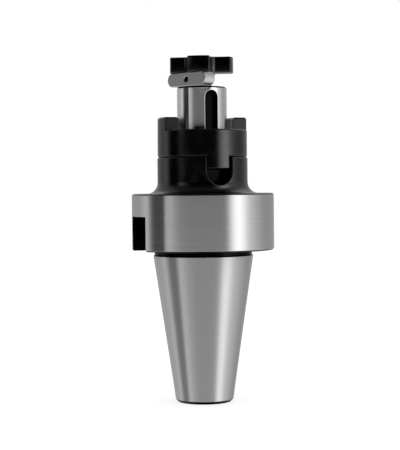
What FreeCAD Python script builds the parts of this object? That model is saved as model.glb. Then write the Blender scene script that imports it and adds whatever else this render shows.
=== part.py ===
"""Shell mill arbor: a 7/24 taper shank with a flange, a slotted collar and a spigot for the cutter,
its driver ring, its feather key and its cross-headed retaining screw.

Millimetres. The origin is on the axis at the taper's gauge line, and +Z runs towards the cutter.
"""
import FreeCAD
import Part
import Sketcher
import math
import os

# Driving sizes
SIZES = {
    "gauge_diameter": 44.45,
    "taper_rise": 7,
    "taper_run": 24,
    "shank_length": 65.4,
    "shank_top_chamfer": 0.5,
    "shank_end_chamfer": 1.1,
    "relief_depth": 0.6,
    "flange_offset": 2,
    "flange_diameter": 63,
    "flange_thickness": 25,
    "flange_chamfer": 0.6,
    "drive_slot_width": 16.1,
    "drive_slot_floor": 22.6,
    "drive_slot_length": 15.2,
    "collar_diameter": 40,
    "collar_height": 16,
    "collar_chamfer": 0.5,
    "flare_radius": 5,
    "collar_slot_depth": 12.1,
    "collar_slot_chamfer": 0.5,
    "lug_side_play": 0.8,
    "lug_end_play": 0.5,
    "spigot_diameter": 22,
    "spigot_length": 31,
    "spigot_chamfer": 0.7,
    "keyway_depth": 3.5,
    "keyway_end_gap": 1.7,
    "keyway_side_play": 0.015,
    "keyway_end_play": 0.1,
    "screw_hole_depth": 34,
    "screw_hole_chamfer": 0.8,
    "screw_radial_play": 0.05,
    "drawbar_thread_diameter": 16,
    "drawbar_depth": 43,
    "drawbar_pilot_diameter": 17,
    "drawbar_pilot_depth": 7,
    "drawbar_mouth_diameter": 19,
    "centre_angle": 60,
    "drill_point_angle": 118,
    "ring_diameter": 39.6,
    "ring_height": 12,
    "ring_radial_play": 0.02,
    "ring_edge_chamfer": 0.5,
    "ring_turn": -2,
    "lug_width": 10,
    "lug_height": 5.6,
    "lug_inner_diameter": 27.3,
    "lug_chamfer": 0.7,
    "key_length": 25,
    "key_width": 6,
    "key_thickness": 6,
    "key_hole_diameter": 2.5,
    "key_hole_chamfer": 0.25,
    "key_edge_chamfer": 0.25,
    "key_turn": -71.6,
    "key_shift": 2.1,
    "key_shank_play": 0.05,
    "key_head_play": 0.05,
    "screw_diameter": 10,
    "screw_engagement": 30,
    "screw_end_chamfer": 1.2,
    "screw_turn": -29,
    "head_diameter": 28,
    "head_height": 7,
    "head_chamfer": 0.6,
    "head_lobe_width": 9.7,
    "head_notch_radius": 2.8,
    "head_centre_diameter": 2.5,
    "head_centre_mouth_diameter": 5,
    "head_centre_depth": 5,
    "cut_overrun": 1,
}

# Heights and radii that several pieces share
FLANGE_BOTTOM = "sizes.flange_offset"
FLANGE_TOP = f"({FLANGE_BOTTOM} + sizes.flange_thickness)"
SHOULDER = f"({FLANGE_TOP} + sizes.collar_height)"
SPIGOT_TOP = f"({SHOULDER} + sizes.spigot_length)"
SHANK_END = "(-sizes.shank_length)"
FLANGE_RADIUS = "(sizes.flange_diameter / 2)"
COLLAR_RADIUS = "(sizes.collar_diameter / 2)"
SPIGOT_RADIUS = "(sizes.spigot_diameter / 2)"
RING_RADIUS = "(sizes.ring_diameter / 2)"
SCREW_RADIUS = "(sizes.screw_diameter / 2)"
LUG_SIDE = "(sizes.lug_width / 2)"
LUG_INNER = "(sizes.lug_inner_diameter / 2)"
LUG_INNER_REACH = f"sqrt({LUG_INNER} * {LUG_INNER} - {LUG_SIDE} * {LUG_SIDE})"
SLOT_SIDE = f"({LUG_SIDE} + sizes.lug_side_play)"
SLOT_FLOOR = f"({LUG_INNER_REACH} - sizes.lug_end_play)"
SLOT_CENTRE = f"({SHOULDER} - sizes.collar_slot_depth + {SLOT_SIDE})"
KEYWAY_TOP = f"({SPIGOT_TOP} - sizes.keyway_end_gap)"

OPPOSITE_PAIR = 2
HEAD_LOBES = 4
FULL_TURN = 360
LEAST_CUT = 1e-3
EDGE_POINTS = 5
UP = FreeCAD.Vector(0, 0, 1)


def number(holder, text):
    """The value of an expression on the sizes sheet."""
    result = holder.evalExpression(text)
    return float(getattr(result, "Value", result))


def make_sheet(doc):
    """The sheet that holds every driving size under its own name."""
    sheet = doc.addObject("Spreadsheet::Sheet", "sizes")
    for row, (alias, value) in enumerate(SIZES.items(), start=1):
        sheet.set(f"A{row}", alias)
        sheet.set(f"B{row}", str(value))
        sheet.setAlias(f"B{row}", alias)
    doc.recompute()
    return sheet


def make_body(doc, label):
    body = doc.addObject("PartDesign::Body", label)
    body.Label = label
    return body


def origin_feature(body, role):
    """One of the body's own origin planes or axes."""
    return next(item for item in body.Origin.OriginFeatures if item.Role == role)


def make_sketch(body, name, plane, height="0"):
    """An empty sketch on an origin plane, moved along the plane's normal."""
    sketch = body.newObject("Sketcher::SketchObject", name)
    sketch.AttachmentSupport = [(origin_feature(body, plane), "")]
    sketch.MapMode = "FlatFace"
    if height != "0":
        sketch.setExpression("AttachmentOffset.Base.z", height)
    return sketch


def tie(sketch, kind, geometry, point, text):
    """Hold one coordinate of a sketch point at an expression's value."""
    if text == "0":
        axis = -2 if kind == "DistanceX" else -1
        sketch.addConstraint(Sketcher.Constraint("PointOnObject", geometry, point, axis))
        return
    value = number(sketch, text)
    index = sketch.addConstraint(Sketcher.Constraint(kind, -1, 1, geometry, point, value))
    name = f"{kind}_{geometry}_{point}"
    sketch.renameConstraint(index, name)
    sketch.setExpression(f"Constraints.{name}", text)


def tie_radius(sketch, geometry, text):
    """Hold an arc's or a circle's radius at an expression's value."""
    index = sketch.addConstraint(Sketcher.Constraint("Radius", geometry, number(sketch, text)))
    name = f"Radius_{geometry}"
    sketch.renameConstraint(index, name)
    sketch.setExpression(f"Constraints.{name}", text)


def draw_outline(sketch, corners, arcs=None):
    """A closed outline through corners given as pairs of expressions.

    arcs maps a corner's number to the arc that starts there: centre x, centre y, radius and
    True where the arc runs anticlockwise. Every other side is straight.
    """
    arcs = arcs or {}
    points = [FreeCAD.Vector(number(sketch, x), number(sketch, y), 0) for x, y in corners]
    sides = []
    for index, start in enumerate(points):
        end = points[(index + 1) % len(points)]
        if index in arcs:
            centre_x, centre_y, radius, anticlockwise = arcs[index]
            centre = FreeCAD.Vector(number(sketch, centre_x), number(sketch, centre_y), 0)
            first, last = (start, end) if anticlockwise else (end, start)
            circle = Part.Circle(centre, UP, number(sketch, radius))
            first_angle = math.atan2(first.y - centre.y, first.x - centre.x)
            last_angle = math.atan2(last.y - centre.y, last.x - centre.x)
            geometry = sketch.addGeometry(Part.ArcOfCircle(circle, first_angle, last_angle), False)
            sides.append((geometry, 1, 2) if anticlockwise else (geometry, 2, 1))
            tie(sketch, "DistanceX", geometry, 3, centre_x)
            tie(sketch, "DistanceY", geometry, 3, centre_y)
            tie_radius(sketch, geometry, radius)
        else:
            geometry = sketch.addGeometry(Part.LineSegment(start, end), False)
            sides.append((geometry, 1, 2))
    for index, (geometry, start_point, end_point) in enumerate(sides):
        following, following_start, _ = sides[(index + 1) % len(sides)]
        sketch.addConstraint(
            Sketcher.Constraint("Coincident", geometry, end_point, following, following_start)
        )
        place_corner(sketch, corners[index], arcs, index, len(sides), geometry, start_point)


def place_corner(sketch, corner, arcs, index, count, geometry, point):
    """Fix a corner: both coordinates between straight sides, and one where it ends an arc."""
    arc = arcs.get(index) or arcs.get((index - 1) % count)
    if arc is None:
        tie(sketch, "DistanceX", geometry, point, corner[0])
        tie(sketch, "DistanceY", geometry, point, corner[1])
        return
    across = abs(number(sketch, corner[0]) - number(sketch, arc[0]))
    along = abs(number(sketch, corner[1]) - number(sketch, arc[1]))
    # where the arc runs upright its end is fixed by height, and elsewhere by distance
    if across > along:
        tie(sketch, "DistanceY", geometry, point, corner[1])
    else:
        tie(sketch, "DistanceX", geometry, point, corner[0])


def draw_upright_slot(sketch, half_width, low, high):
    """A slot with round ends, centred on the sketch's upright axis."""
    low_centre = f"({low} + {half_width})"
    high_centre = f"({high} - {half_width})"
    corners = [
        (half_width, low_centre),
        (half_width, high_centre),
        (f"(-{half_width})", high_centre),
        (f"(-{half_width})", low_centre),
    ]
    arcs = {
        1: ("0", high_centre, half_width, True),
        3: ("0", low_centre, half_width, True),
    }
    draw_outline(sketch, corners, arcs)


def revolve(body, sketch, name, kind="PartDesign::Revolution"):
    """Turn a half profile once round its sketch's upright axis, as solid or as a cut."""
    feature = body.newObject(kind, name)
    feature.Profile = sketch
    feature.ReferenceAxis = (sketch, ["V_Axis"])
    feature.Angle = FULL_TURN
    return settle(body, feature, kind == "PartDesign::Groove")


def extrude(body, sketch, name, length, forward, cut=False):
    """Pad or cut a sketch by a length, along its plane's normal where forward is True."""
    feature = body.newObject("PartDesign::Pocket" if cut else "PartDesign::Pad", name)
    feature.Profile = sketch
    feature.setExpression("Length", length)
    # a pocket runs against the normal unless it is reversed, and a pad runs along it
    feature.Reversed = forward if cut else not forward
    return settle(body, feature, cut)


def settle(body, feature, cut):
    """Work the feature out, and stop if it failed or left the solid's volume as it was."""
    base = feature.BaseFeature
    before = base.Shape.Volume if base else 0
    body.Tip = feature
    body.Document.recompute()
    change = feature.Shape.Volume - before
    if cut and change > -LEAST_CUT:
        raise RuntimeError(f"{feature.Label} cuts nothing")
    if not cut and change < LEAST_CUT:
        raise RuntimeError(f"{feature.Label} adds nothing")
    return feature


def repeat_round(body, feature, name, count):
    """Copies of a feature, evenly spaced round the body's Z axis."""
    pattern = body.newObject("PartDesign::PolarPattern", name)
    pattern.Originals = [feature]
    pattern.Axis = (origin_feature(body, "Z_Axis"), [""])
    pattern.Angle = FULL_TURN
    pattern.Occurrences = count
    body.Tip = pattern
    body.Document.recompute()
    return pattern


def level_edges(feature, heights, least_radius=0):
    """Names of the level edges at these heights whose middle lies beyond a radius."""
    names = []
    for index, edge in enumerate(feature.Shape.Edges, start=1):
        box = edge.BoundBox
        level = box.ZLength < LEAST_CUT
        radius = math.hypot(edge.CenterOfMass.x, edge.CenterOfMass.y)
        near = any(abs(box.ZMin - height) < LEAST_CUT for height in heights)
        if level and near and radius >= least_radius:
            names.append(f"Edge{index}")
    return names


def chamfer_edges(body, feature, name, edges, size):
    """Break the named edges."""
    chamfer = body.newObject("PartDesign::Chamfer", name)
    chamfer.Base = (feature, edges)
    chamfer.setExpression("Size", size)
    body.Tip = chamfer
    body.Document.recompute()
    return chamfer


def taper_radius(height):
    """The shank's radius at a height above the gauge line."""
    slope = "sizes.taper_rise / sizes.taper_run / 2"
    return f"(sizes.gauge_diameter / 2 + {height} * {slope})"


def cone_height(radius, angle):
    """The height of a cone of this radius whose point has this angle."""
    return f"({radius} / tan({angle} * 1 deg / 2))"


def make_arbor_body(doc):
    """The shank, flange, collar and spigot, which are one piece of steel."""
    body = make_body(doc, "arbor_body")

    # half profile, from the spigot's end down to the shank's small end
    sketch = make_sketch(body, "arbor_profile", "XZ_Plane")
    gauge_radius = "(sizes.gauge_diameter / 2)"
    relief = f"({gauge_radius} - sizes.relief_depth)"
    cone_top = "(-sizes.shank_top_chamfer)"
    cone_bottom = f"({SHANK_END} + sizes.shank_end_chamfer)"
    flare_height = f"({FLANGE_TOP} + sizes.flare_radius)"
    flare_reach = f"({COLLAR_RADIUS} + sizes.flare_radius)"
    corners = [
        ("0", SPIGOT_TOP),
        (f"({SPIGOT_RADIUS} - sizes.spigot_chamfer)", SPIGOT_TOP),
        (SPIGOT_RADIUS, f"({SPIGOT_TOP} - sizes.spigot_chamfer)"),
        (SPIGOT_RADIUS, SHOULDER),
        (f"({COLLAR_RADIUS} - sizes.collar_chamfer)", SHOULDER),
        (COLLAR_RADIUS, f"({SHOULDER} - sizes.collar_chamfer)"),
        (COLLAR_RADIUS, flare_height),
        (flare_reach, FLANGE_TOP),
        (f"({FLANGE_RADIUS} - sizes.flange_chamfer)", FLANGE_TOP),
        (FLANGE_RADIUS, f"({FLANGE_TOP} - sizes.flange_chamfer)"),
        (FLANGE_RADIUS, f"({FLANGE_BOTTOM} + sizes.flange_chamfer)"),
        (f"({FLANGE_RADIUS} - sizes.flange_chamfer)", FLANGE_BOTTOM),
        (relief, FLANGE_BOTTOM),
        (relief, "0"),
        (f"({gauge_radius} - sizes.shank_top_chamfer)", "0"),
        (taper_radius(cone_top), cone_top),
        (taper_radius(cone_bottom), cone_bottom),
        (f"({taper_radius(cone_bottom)} - sizes.shank_end_chamfer)", SHANK_END),
        ("0", SHANK_END),
    ]
    flare = {6: (flare_reach, flare_height, "sizes.flare_radius", True)}
    draw_outline(sketch, corners, flare)
    revolve(body, sketch, "arbor_turned")

    cut_screw_hole(body)
    cut_drawbar_hole(body)
    cut_drive_slots(body)
    cut_collar_slots(body)
    cut_keyway(body)
    return body


def cut_screw_hole(body):
    """The hole for the retaining screw, from the spigot's end, with a drill point."""
    sketch = make_sketch(body, "screw_hole_profile", "XZ_Plane")
    radius = f"({SCREW_RADIUS} + sizes.screw_radial_play)"
    floor = f"({SPIGOT_TOP} - sizes.screw_hole_depth)"
    corners = [
        ("0", SPIGOT_TOP),
        (f"({radius} + sizes.screw_hole_chamfer)", SPIGOT_TOP),
        (radius, f"({SPIGOT_TOP} - sizes.screw_hole_chamfer)"),
        (radius, floor),
        ("0", f"({floor} - {cone_height(radius, 'sizes.drill_point_angle')})"),
    ]
    draw_outline(sketch, corners)
    revolve(body, sketch, "screw_hole", "PartDesign::Groove")


def cut_drawbar_hole(body):
    """The drawbar's hole in the small end: centred mouth, plain pilot and threaded length."""
    sketch = make_sketch(body, "drawbar_hole_profile", "XZ_Plane")
    mouth = "(sizes.drawbar_mouth_diameter / 2)"
    pilot = "(sizes.drawbar_pilot_diameter / 2)"
    thread = "(sizes.drawbar_thread_diameter / 2)"
    mouth_depth = cone_height(f"({mouth} - {pilot})", "sizes.centre_angle")
    pilot_end = f"({SHANK_END} + sizes.drawbar_pilot_depth)"
    floor = f"({SHANK_END} + sizes.drawbar_depth)"
    corners = [
        ("0", SHANK_END),
        (mouth, SHANK_END),
        (pilot, f"({SHANK_END} + {mouth_depth})"),
        (pilot, pilot_end),
        (thread, f"({pilot_end} + {pilot} - {thread})"),
        (thread, floor),
        ("0", f"({floor} + {cone_height(thread, 'sizes.drill_point_angle')})"),
    ]
    draw_outline(sketch, corners)
    revolve(body, sketch, "drawbar_hole", "PartDesign::Groove")


def cut_drive_slots(body):
    """Two slots across the flange for the spindle's keys, open towards the taper."""
    sketch = make_sketch(body, "drive_slot_outline", "YZ_Plane", "sizes.drive_slot_floor")
    side = "(sizes.drive_slot_width / 2)"
    low = f"({FLANGE_BOTTOM} - sizes.cut_overrun)"
    high = f"({FLANGE_BOTTOM} + sizes.drive_slot_length)"
    corners = [(side, low), (side, high), (f"(-{side})", high), (f"(-{side})", low)]
    draw_outline(sketch, corners)
    reach = f"({FLANGE_RADIUS} - sizes.drive_slot_floor + sizes.cut_overrun)"
    slot = extrude(body, sketch, "drive_slot", reach, forward=True, cut=True)
    repeat_round(body, slot, "drive_slots", OPPOSITE_PAIR)


def cut_collar_slots(body):
    """Two round-bottomed slots across the collar, which take the ring's lower lugs."""
    sketch = make_sketch(body, "collar_slot_outline", "XZ_Plane", SLOT_FLOOR)
    top = f"({SHOULDER} + sizes.cut_overrun)"
    corners = [
        (SLOT_SIDE, SLOT_CENTRE),
        (SLOT_SIDE, top),
        (f"(-{SLOT_SIDE})", top),
        (f"(-{SLOT_SIDE})", SLOT_CENTRE),
    ]
    bottom = {3: ("0", SLOT_CENTRE, SLOT_SIDE, True)}
    draw_outline(sketch, corners, bottom)
    reach = f"({COLLAR_RADIUS} + sizes.flare_radius - {SLOT_FLOOR})"
    slot = extrude(body, sketch, "collar_slot", reach, forward=True, cut=True)
    slots = repeat_round(body, slot, "collar_slots", OPPOSITE_PAIR)
    side, round_centre, radius = (number(body, text) for text in (SLOT_SIDE, SLOT_CENTRE, COLLAR_RADIUS))
    rims = slot_rims(slots, side, round_centre, radius)
    chamfer_edges(body, slots, "collar_slot_rims", rims, "sizes.collar_slot_chamfer")


def slot_rims(feature, side, round_centre, least_radius):
    """Names of the collar slots' outer edges, which lie on the collar and on its flare."""
    names = []
    for index, edge in enumerate(feature.Shape.Edges, start=1):
        if edge.Degenerated:
            continue
        points = edge.discretize(EDGE_POINTS)
        offsets = [math.hypot(point.x, min(point.z - round_centre, 0)) for point in points]
        on_slot = all(abs(offset - side) < LEAST_CUT for offset in offsets)
        outside = all(math.hypot(point.x, point.y) > least_radius - LEAST_CUT for point in points)
        if on_slot and outside:
            names.append(f"Edge{index}")
    return names


def cut_keyway(body):
    """The spigot's round-ended keyway, as long as the feather key and in line with a collar slot."""
    floor = f"({SPIGOT_RADIUS} - sizes.keyway_depth)"
    sketch = make_sketch(body, "keyway_outline", "XZ_Plane", floor)
    side = "(sizes.key_width / 2 + sizes.keyway_side_play)"
    low = f"({KEYWAY_TOP} - sizes.key_length - 2 * sizes.keyway_end_play)"
    draw_upright_slot(sketch, side, low, KEYWAY_TOP)
    reach = "(sizes.keyway_depth + sizes.cut_overrun)"
    extrude(body, sketch, "keyway", reach, forward=True, cut=True)


def draw_lug(sketch, along_x):
    """A lug's outline: a straight-sided piece of the ring between two arcs round its centre."""
    outer_reach = f"sqrt({RING_RADIUS} * {RING_RADIUS} - {LUG_SIDE} * {LUG_SIDE})"
    corners = [
        (outer_reach, f"(-{LUG_SIDE})"),
        (outer_reach, LUG_SIDE),
        (LUG_INNER_REACH, LUG_SIDE),
        (LUG_INNER_REACH, f"(-{LUG_SIDE})"),
    ]
    if not along_x:
        corners = [(f"(-{y})", x) for x, y in corners]
    arcs = {0: ("0", "0", RING_RADIUS, True), 2: ("0", "0", LUG_INNER, False)}
    draw_outline(sketch, corners, arcs)


def make_driver_ring(doc):
    """The ring that turns the cutter: two lugs up for the cutter and two down for the collar."""
    body = make_body(doc, "driver_ring")
    sketch = make_sketch(body, "ring_profile", "XZ_Plane")
    bore = f"({SPIGOT_RADIUS} + sizes.ring_radial_play)"
    edge = "sizes.ring_edge_chamfer"
    corners = [
        (f"({bore} + {edge})", "0"),
        (f"({RING_RADIUS} - {edge})", "0"),
        (RING_RADIUS, edge),
        (RING_RADIUS, f"(sizes.ring_height - {edge})"),
        (f"({RING_RADIUS} - {edge})", "sizes.ring_height"),
        (f"({bore} + {edge})", "sizes.ring_height"),
        (bore, f"(sizes.ring_height - {edge})"),
        (bore, edge),
    ]
    draw_outline(sketch, corners)
    revolve(body, sketch, "ring_turned")

    # each lug starts inside the ring, so that the ring's edge chamfers stop at its sides
    middle = "(sizes.ring_height / 2)"
    lug_reach = f"({middle} + sizes.lug_height)"
    upper_sketch = make_sketch(body, "upper_lug_outline", "XY_Plane", middle)
    draw_lug(upper_sketch, along_x=True)
    upper = extrude(body, upper_sketch, "upper_lug", lug_reach, forward=True)
    repeat_round(body, upper, "upper_lugs", OPPOSITE_PAIR)
    lower_sketch = make_sketch(body, "lower_lug_outline", "XY_Plane", middle)
    draw_lug(lower_sketch, along_x=False)
    lower = extrude(body, lower_sketch, "lower_lug", lug_reach, forward=False)
    lugs = repeat_round(body, lower, "lower_lugs", OPPOSITE_PAIR)

    top = number(body, "sizes.ring_height + sizes.lug_height")
    bottom = number(body, "-sizes.lug_height")
    ends = level_edges(lugs, [top, bottom])
    chamfer_edges(body, lugs, "lug_chamfers", ends, "sizes.lug_chamfer")

    body.Placement.Rotation = FreeCAD.Rotation(UP, number(body, "sizes.ring_turn"))
    body.setExpression("Placement.Rotation.Angle", "sizes.ring_turn")
    body.setExpression("Placement.Base.z", SHOULDER)
    return body


def make_feather_key(doc):
    """The feather key, stored on the spigot's end under the screw's head, flat against the shank."""
    body = make_body(doc, "feather_key")
    sketch = make_sketch(body, "key_outline", "XY_Plane")
    half_length = "sizes.key_length / 2"
    draw_upright_slot(sketch, "(sizes.key_width / 2)", f"(-{half_length})", f"({half_length})")
    pad = extrude(body, sketch, "key_blank", "sizes.key_thickness", forward=True)
    thickness = number(body, "sizes.key_thickness")
    rims = level_edges(pad, [0, thickness])
    chamfer_edges(body, pad, "key_edges", rims, "sizes.key_edge_chamfer")

    # screw hole through the middle, with its edges broken
    hole = make_sketch(body, "key_hole_profile", "XZ_Plane")
    radius = "(sizes.key_hole_diameter / 2)"
    broken = "sizes.key_hole_chamfer"
    corners = [
        ("0", "0"),
        (f"({radius} + {broken})", "0"),
        (radius, broken),
        (radius, f"(sizes.key_thickness - {broken})"),
        (f"({radius} + {broken})", "sizes.key_thickness"),
        ("0", "sizes.key_thickness"),
    ]
    draw_outline(hole, corners)
    revolve(body, hole, "key_hole", "PartDesign::Groove")

    place_key(body)
    return body


def place_key(body):
    """Stand the key on edge: its length level, its hole pointing away from the shank."""
    turn = math.radians(number(body, "sizes.key_turn"))
    outward = FreeCAD.Vector(math.sin(turn), -math.cos(turn), 0)
    along = FreeCAD.Vector(math.cos(turn), math.sin(turn), 0)
    body.Placement.Rotation = FreeCAD.Rotation(UP, -along, outward, "ZXY")
    stand_off = f"({SCREW_RADIUS} + sizes.key_shank_play)"
    sine = "sin(sizes.key_turn * 1 deg)"
    cosine = "cos(sizes.key_turn * 1 deg)"
    body.setExpression("Placement.Base.x", f"{stand_off} * {sine} + sizes.key_shift * {cosine}")
    body.setExpression("Placement.Base.y", f"sizes.key_shift * {sine} - {stand_off} * {cosine}")
    body.setExpression("Placement.Base.z", f"{SPIGOT_TOP} + sizes.key_width / 2")


def make_retaining_screw(doc):
    """The screw that holds the cutter: a cross-shaped head for a claw wrench on a plain shank."""
    body = make_body(doc, "retaining_screw")
    sketch = make_sketch(body, "screw_profile", "XZ_Plane")
    head = "(sizes.head_diameter / 2)"
    shank_length = "(sizes.key_width + sizes.key_head_play + sizes.screw_engagement)"
    corners = [
        ("0", "sizes.head_height"),
        (head, "sizes.head_height"),
        (head, "0"),
        (SCREW_RADIUS, "0"),
        (SCREW_RADIUS, f"(sizes.screw_end_chamfer - {shank_length})"),
        (f"({SCREW_RADIUS} - sizes.screw_end_chamfer)", f"(-{shank_length})"),
        ("0", f"(-{shank_length})"),
    ]
    draw_outline(sketch, corners)
    revolve(body, sketch, "screw_turned")

    # the head's notches, each with a round inner corner
    notch_sketch = make_sketch(body, "head_notch_outline", "XY_Plane")
    lobe_side = "(sizes.head_lobe_width / 2)"
    round_centre = f"({lobe_side} + sizes.head_notch_radius)"
    clear = f"({head} + sizes.cut_overrun)"
    notch_corners = [
        (round_centre, lobe_side),
        (clear, lobe_side),
        (clear, clear),
        (lobe_side, clear),
        (lobe_side, round_centre),
    ]
    inner = {4: (round_centre, round_centre, "sizes.head_notch_radius", True)}
    draw_outline(notch_sketch, notch_corners, inner)
    notch_reach = "(sizes.head_height + sizes.cut_overrun)"
    notch = extrude(body, notch_sketch, "head_notch", notch_reach, forward=True, cut=True)
    lobes = repeat_round(body, notch, "head_notches", HEAD_LOBES)

    top = number(body, "sizes.head_height")
    rims = level_edges(lobes, [0, top], number(body, SCREW_RADIUS))
    chamfer_edges(body, lobes, "head_chamfers", rims, "sizes.head_chamfer")

    # centre hole left in the head by turning
    centre = make_sketch(body, "head_centre_profile", "XZ_Plane")
    mouth = "(sizes.head_centre_mouth_diameter / 2)"
    drill = "(sizes.head_centre_diameter / 2)"
    mouth_depth = cone_height(f"({mouth} - {drill})", "sizes.centre_angle")
    floor = "(sizes.head_height - sizes.head_centre_depth)"
    centre_corners = [
        ("0", "sizes.head_height"),
        (mouth, "sizes.head_height"),
        (drill, f"(sizes.head_height - {mouth_depth})"),
        (drill, floor),
        ("0", f"({floor} - {cone_height(drill, 'sizes.drill_point_angle')})"),
    ]
    draw_outline(centre, centre_corners)
    revolve(body, centre, "head_centre", "PartDesign::Groove")

    body.Placement.Rotation = FreeCAD.Rotation(UP, number(body, "sizes.screw_turn"))
    body.setExpression("Placement.Rotation.Angle", "sizes.screw_turn")
    body.setExpression("Placement.Base.z", f"{SPIGOT_TOP} + sizes.key_width + sizes.key_head_play")
    return body


def check_document(doc, bodies):
    """Stop if any object failed or any piece has no sound solid."""
    for item in doc.Objects:
        if "Invalid" in item.State or "Error" in item.State:
            raise RuntimeError(f"{item.Label} failed: {item.State}")
    for body in bodies:
        if body.Shape.isNull() or not body.Shape.isValid():
            raise RuntimeError(f"{body.Label} has no sound solid")
        print(f"{body.Label}: {len(body.Shape.Solids)} solid, {body.Shape.Volume:.1f} mm3")


def main():
    doc = FreeCAD.newDocument("shell_mill_arbor")
    make_sheet(doc)
    bodies = [
        make_arbor_body(doc),
        make_driver_ring(doc),
        make_feather_key(doc),
        make_retaining_screw(doc),
    ]
    doc.recompute()
    check_document(doc, bodies)
    os.makedirs("parts", exist_ok=True)
    for body in bodies:
        body.Shape.exportStep(f"parts/{body.Label}.step")


main()
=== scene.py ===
import math

import bmesh
import bpy
from mathutils import Matrix, Vector


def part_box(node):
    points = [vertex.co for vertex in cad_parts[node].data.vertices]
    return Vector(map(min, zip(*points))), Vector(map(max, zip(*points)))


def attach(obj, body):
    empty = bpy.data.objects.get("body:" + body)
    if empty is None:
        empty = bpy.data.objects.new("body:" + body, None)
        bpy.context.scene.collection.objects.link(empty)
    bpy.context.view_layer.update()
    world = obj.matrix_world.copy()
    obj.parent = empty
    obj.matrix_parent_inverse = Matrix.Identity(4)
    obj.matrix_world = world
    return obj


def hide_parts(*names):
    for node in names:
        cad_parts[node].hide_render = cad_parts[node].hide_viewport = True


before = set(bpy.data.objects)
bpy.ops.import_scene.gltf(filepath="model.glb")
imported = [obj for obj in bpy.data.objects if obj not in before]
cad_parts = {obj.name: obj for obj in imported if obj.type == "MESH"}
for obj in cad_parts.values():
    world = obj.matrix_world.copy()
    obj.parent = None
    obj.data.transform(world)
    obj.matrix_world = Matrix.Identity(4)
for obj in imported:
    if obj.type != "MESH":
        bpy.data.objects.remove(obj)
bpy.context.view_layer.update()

bl_info = {
    "name": "Shell mill arbor",
    "version": (1, 0, 0),
    "blender": (4, 5, 0),
    "location": "View3D > Sidebar > Arbor",
    "description": "Finishes, threads and studio for a shell mill arbor",
    "category": "Object",
}

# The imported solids' box and their own heights, in metres
SHANK_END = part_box("arbor_body")[0].z
SPIGOT_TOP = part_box("arbor_body")[1].z
SCREW_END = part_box("retaining_screw")[0].z
HEAD_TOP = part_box("retaining_screw")[1].z

MM = 0.001
FULL_TURN = 2 * math.pi
QUARTER_TURN = math.pi / 2
SQUARE_SIDES = 4
PICTURE_HEIGHT = 450


def length(name, description, default):
    """A size in metres that a user may change."""
    return bpy.props.FloatProperty(
        name=name, description=description, default=default, precision=5, unit="LENGTH"
    )


def turn(name, description, degrees):
    """An angle that a user may change."""
    return bpy.props.FloatProperty(
        name=name, description=description, default=math.radians(degrees), unit="ROTATION"
    )


def share(name, description, default, most=1.0):
    """A plain number from nothing up to a limit."""
    return bpy.props.FloatProperty(
        name=name, description=description, default=default, min=0.0, max=most, subtype="FACTOR"
    )


def tint(name, description, default):
    """A colour that a user may change."""
    return bpy.props.FloatVectorProperty(
        name=name, description=description, default=default, size=3, min=0.0, subtype="COLOR"
    )


class ArborThreads(bpy.types.PropertyGroup):
    """The screw's head and thread, and the threads in the two holes."""

    head_diameter: length("Head diameter", "Across two opposite lobes", 28 * MM)
    head_height: length("Head height", "Thickness of the cross-shaped head", 7 * MM)
    head_turn: turn("Head turn", "How far the head is turned about the axis", -29)
    lobe_width: length("Lobe width", "Width of each of the head's lobes", 9.7 * MM)
    lobe_corner: length("Lobe corner", "Radius at a lobe's outer corners", 0.5 * MM)
    notch_radius: length("Notch radius", "Radius in the corner between two lobes", 2.8 * MM)
    rim_radius: length("Rim radius", "Rounding of the head's upper and lower rims", 0.4 * MM)
    centre_mouth: length("Centre mouth", "Diameter of the head's centre hole at its mouth", 5 * MM)
    centre_drill: length("Centre drill", "Diameter of the head's centre hole below", 2.5 * MM)
    centre_depth: length("Centre depth", "Depth of the head's centre hole", 5 * MM)
    screw_diameter: length("Screw diameter", "Outer diameter of the screw's thread", 10 * MM)
    screw_pitch: length("Screw pitch", "Rise of the screw's thread in a turn", 1.5 * MM)
    screw_chamfer: length("Screw chamfer", "Chamfer on the screw's end", 1.2 * MM)
    drawbar_diameter: length("Drawbar diameter", "Drawbar thread's outer diameter", 16 * MM)
    drawbar_pitch: length("Drawbar pitch", "Rise of the drawbar's thread in a turn", 2 * MM)
    drawbar_start: length("Drawbar start", "From the small end to the first turn", 7.6 * MM)
    drawbar_length: length("Drawbar length", "Length of the thread for the drawbar", 33 * MM)


class ArborFinishes(bpy.types.PropertyGroup):
    """Colours and roughness of the two finishes."""

    steel: tint("Ground steel", "Colour of the ground surfaces", (0.60, 0.60, 0.60))
    steel_roughness: share("Steel roughness", "Mean roughness of the ground surfaces", 0.26)
    key_steel: tint("Key steel", "Colour of the key's ground faces", (0.60, 0.60, 0.60))
    key_roughness: share("Key roughness", "Mean roughness of the key's faces", 0.37)
    oxide: tint("Black oxide", "Colour of the blackened surfaces", (0.0009, 0.0009, 0.001))
    oxide_roughness: share("Oxide roughness", "Mean roughness of the blackened surfaces", 0.18)


class ArborStudio(bpy.types.PropertyGroup):
    """Camera, lamps and background."""

    camera_azimuth: turn("Camera azimuth", "Where the camera stands round the axis", -23)
    camera_distance: length("Camera distance", "From the axis to the camera", 640 * MM)
    camera_height: length("Camera height", "Above the gauge line", 32 * MM)
    camera_lens: bpy.props.FloatProperty(
        name="Lens", description="Focal length in millimetres", default=115.25, min=1.0
    )
    camera_roll: turn("Camera roll", "Clockwise turn of the camera", 0.56)
    level: bpy.props.FloatProperty(
        name="Light level", description="Light that reaches a matt surface", default=0.6, min=0.0
    )
    lamp_power: bpy.props.FloatProperty(
        name="Lamp power", description="Power of the soft lamp overhead", default=12, unit="POWER"
    )


def settings():
    """The three groups of values that the operators read."""
    scene = bpy.context.scene
    return scene.arbor_threads, scene.arbor_finishes, scene.arbor_studio


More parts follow.
